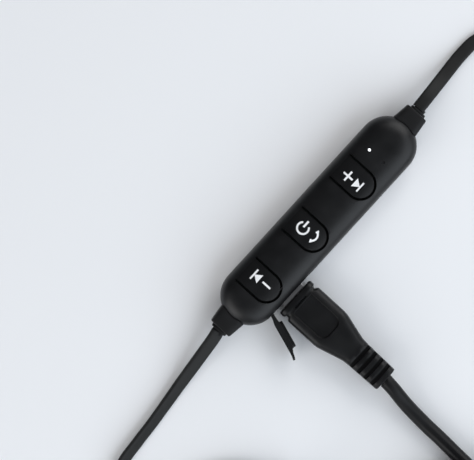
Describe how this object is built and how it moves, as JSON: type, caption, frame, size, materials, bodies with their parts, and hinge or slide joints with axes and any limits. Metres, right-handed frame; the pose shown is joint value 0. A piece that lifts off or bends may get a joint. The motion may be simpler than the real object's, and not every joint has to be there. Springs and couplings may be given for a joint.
{
  "type": "neckband earphones",
  "caption": "Inline control pod of neckband earphones with keys, soft collars, flat cords to magnetic earbuds, an open port flap and a plugged-in charging lead.",
  "frame": {"origin": "centre of the control pod's flat back, on the surface it lies on", "axes": "+X along the pod towards the short cord, +Y away from the charging port, +Z out of the keys"},
  "size_m": [0.159, 0.1188, 0.0168],
  "materials": {
    "shell": "fine satin moulded plastic",
    "keys": "fine satin moulded plastic with white pictograms",
    "rubber": "soft matt silicone rubber",
    "cord": "matt extruded soft cord jacket",
    "lead_body": "satin moulded soft plug body",
    "steel": "plated stamped steel",
    "dark_metal": "dark anodised",
    "board": "green solder mask",
    "chip": "black moulded package",
    "ceramic": "pale ceramic or polymer",
    "foil": "silver pouch foil",
    "red_wire": "red insulation",
    "clear": "clear light guide, white when lit"
  },
  "bodies": {
    "pod": {"upper_shell": "shell", "lower_shell": "shell", "housing_left": "shell", "housing_right": "shell", "collar_short_cord": "rubber", "collar_long_cord": "rubber", "cord_relief_left": "rubber", "cord_relief_right": "rubber", "microphone_gasket": "rubber", "long_cord_tie": "rubber", "battery_lead_black": "rubber", "short_cord": "cord", "long_cord": "cord", "long_cord_coil": "cord", "long_cord_end": "cord", "usb_socket": "steel", "nozzle_mesh_left": "steel", "nozzle_mesh_right": "steel", "magnet_left": "steel", "magnet_right": "steel", "driver_left": "steel", "driver_right": "steel", "crystal": "steel", "back_cap_left": "dark_metal", "back_cap_right": "dark_metal", "switch_next": "dark_metal", "switch_power": "dark_metal", "switch_previous": "dark_metal", "circuit_board": "board", "radio_chip": "chip", "usb_socket_tongue": "chip", "antenna": "ceramic", "status_led": "ceramic", "battery": "foil", "microphone": "foil", "battery_lead_red": "red_wire", "light_pipe": "clear"},
    "key_next": {"key_next": "keys"},
    "key_power": {"key_power": "keys"},
    "key_previous": {"key_previous": "keys"},
    "port_flap": {"port_flap": "rubber"},
    "ear_tip_left": {"ear_tip_left": "rubber"},
    "ear_tip_right": {"ear_tip_right": "rubber"},
    "charging_lead": {"micro_plug_overmold": "lead_body", "micro_plug_relief": "lead_body", "micro_plug_shell": "steel", "micro_plug_contacts": "chip", "charging_cord": "cord", "charging_cord_coil": "cord", "charging_cord_end": "cord", "charging_cord_tie": "rubber", "usb_plug_overmold": "lead_body", "usb_plug_relief": "lead_body", "usb_plug_shell": "steel", "usb_plug_tongue": "ceramic"}
  },
  "joints": [
    {"name": "key_previous_press", "type": "hinge", "parent": "pod", "child": "key_previous", "pos_m": [-0.0202, 0.00516, 0.0088], "axis": [1, 0, 0], "range_deg": [0, 2], "stiffness_Nm_per_rad": 0.25},
    {"name": "key_power_press", "type": "hinge", "parent": "pod", "child": "key_power", "pos_m": [-0.00385, 0.00516, 0.0088], "axis": [1, 0, 0], "range_deg": [0, 2], "stiffness_Nm_per_rad": 0.25},
    {"name": "key_next_press", "type": "hinge", "parent": "pod", "child": "key_next", "pos_m": [0.013, 0.00516, 0.0088], "axis": [1, 0, 0], "range_deg": [0, 2], "stiffness_Nm_per_rad": 0.25},
    {"name": "lead_pull", "type": "slide", "parent": "pod", "child": "charging_lead", "axis": [0, -1, 0], "range_m": [0, 0.06]},
    {"name": "flap_close", "type": "hinge", "parent": "pod", "child": "port_flap", "pos_m": [-0.0239, -0.00635, 0.0037], "axis": [0, 0, 1], "range_deg": [0, 108]},
    {"name": "ear_tip_left_pull", "type": "slide", "parent": "pod", "child": "ear_tip_left", "axis": [0.342, 0, 0.9397], "range_m": [0, 0.008]},
    {"name": "ear_tip_right_pull", "type": "slide", "parent": "pod", "child": "ear_tip_right", "axis": [-0.201, -0.2767, 0.9397], "range_m": [0, 0.008]}
  ],
  "couplings": [
    {"joint": "flap_close", "follows": "lead_pull", "rad_per_m": 31.415}
  ]
}
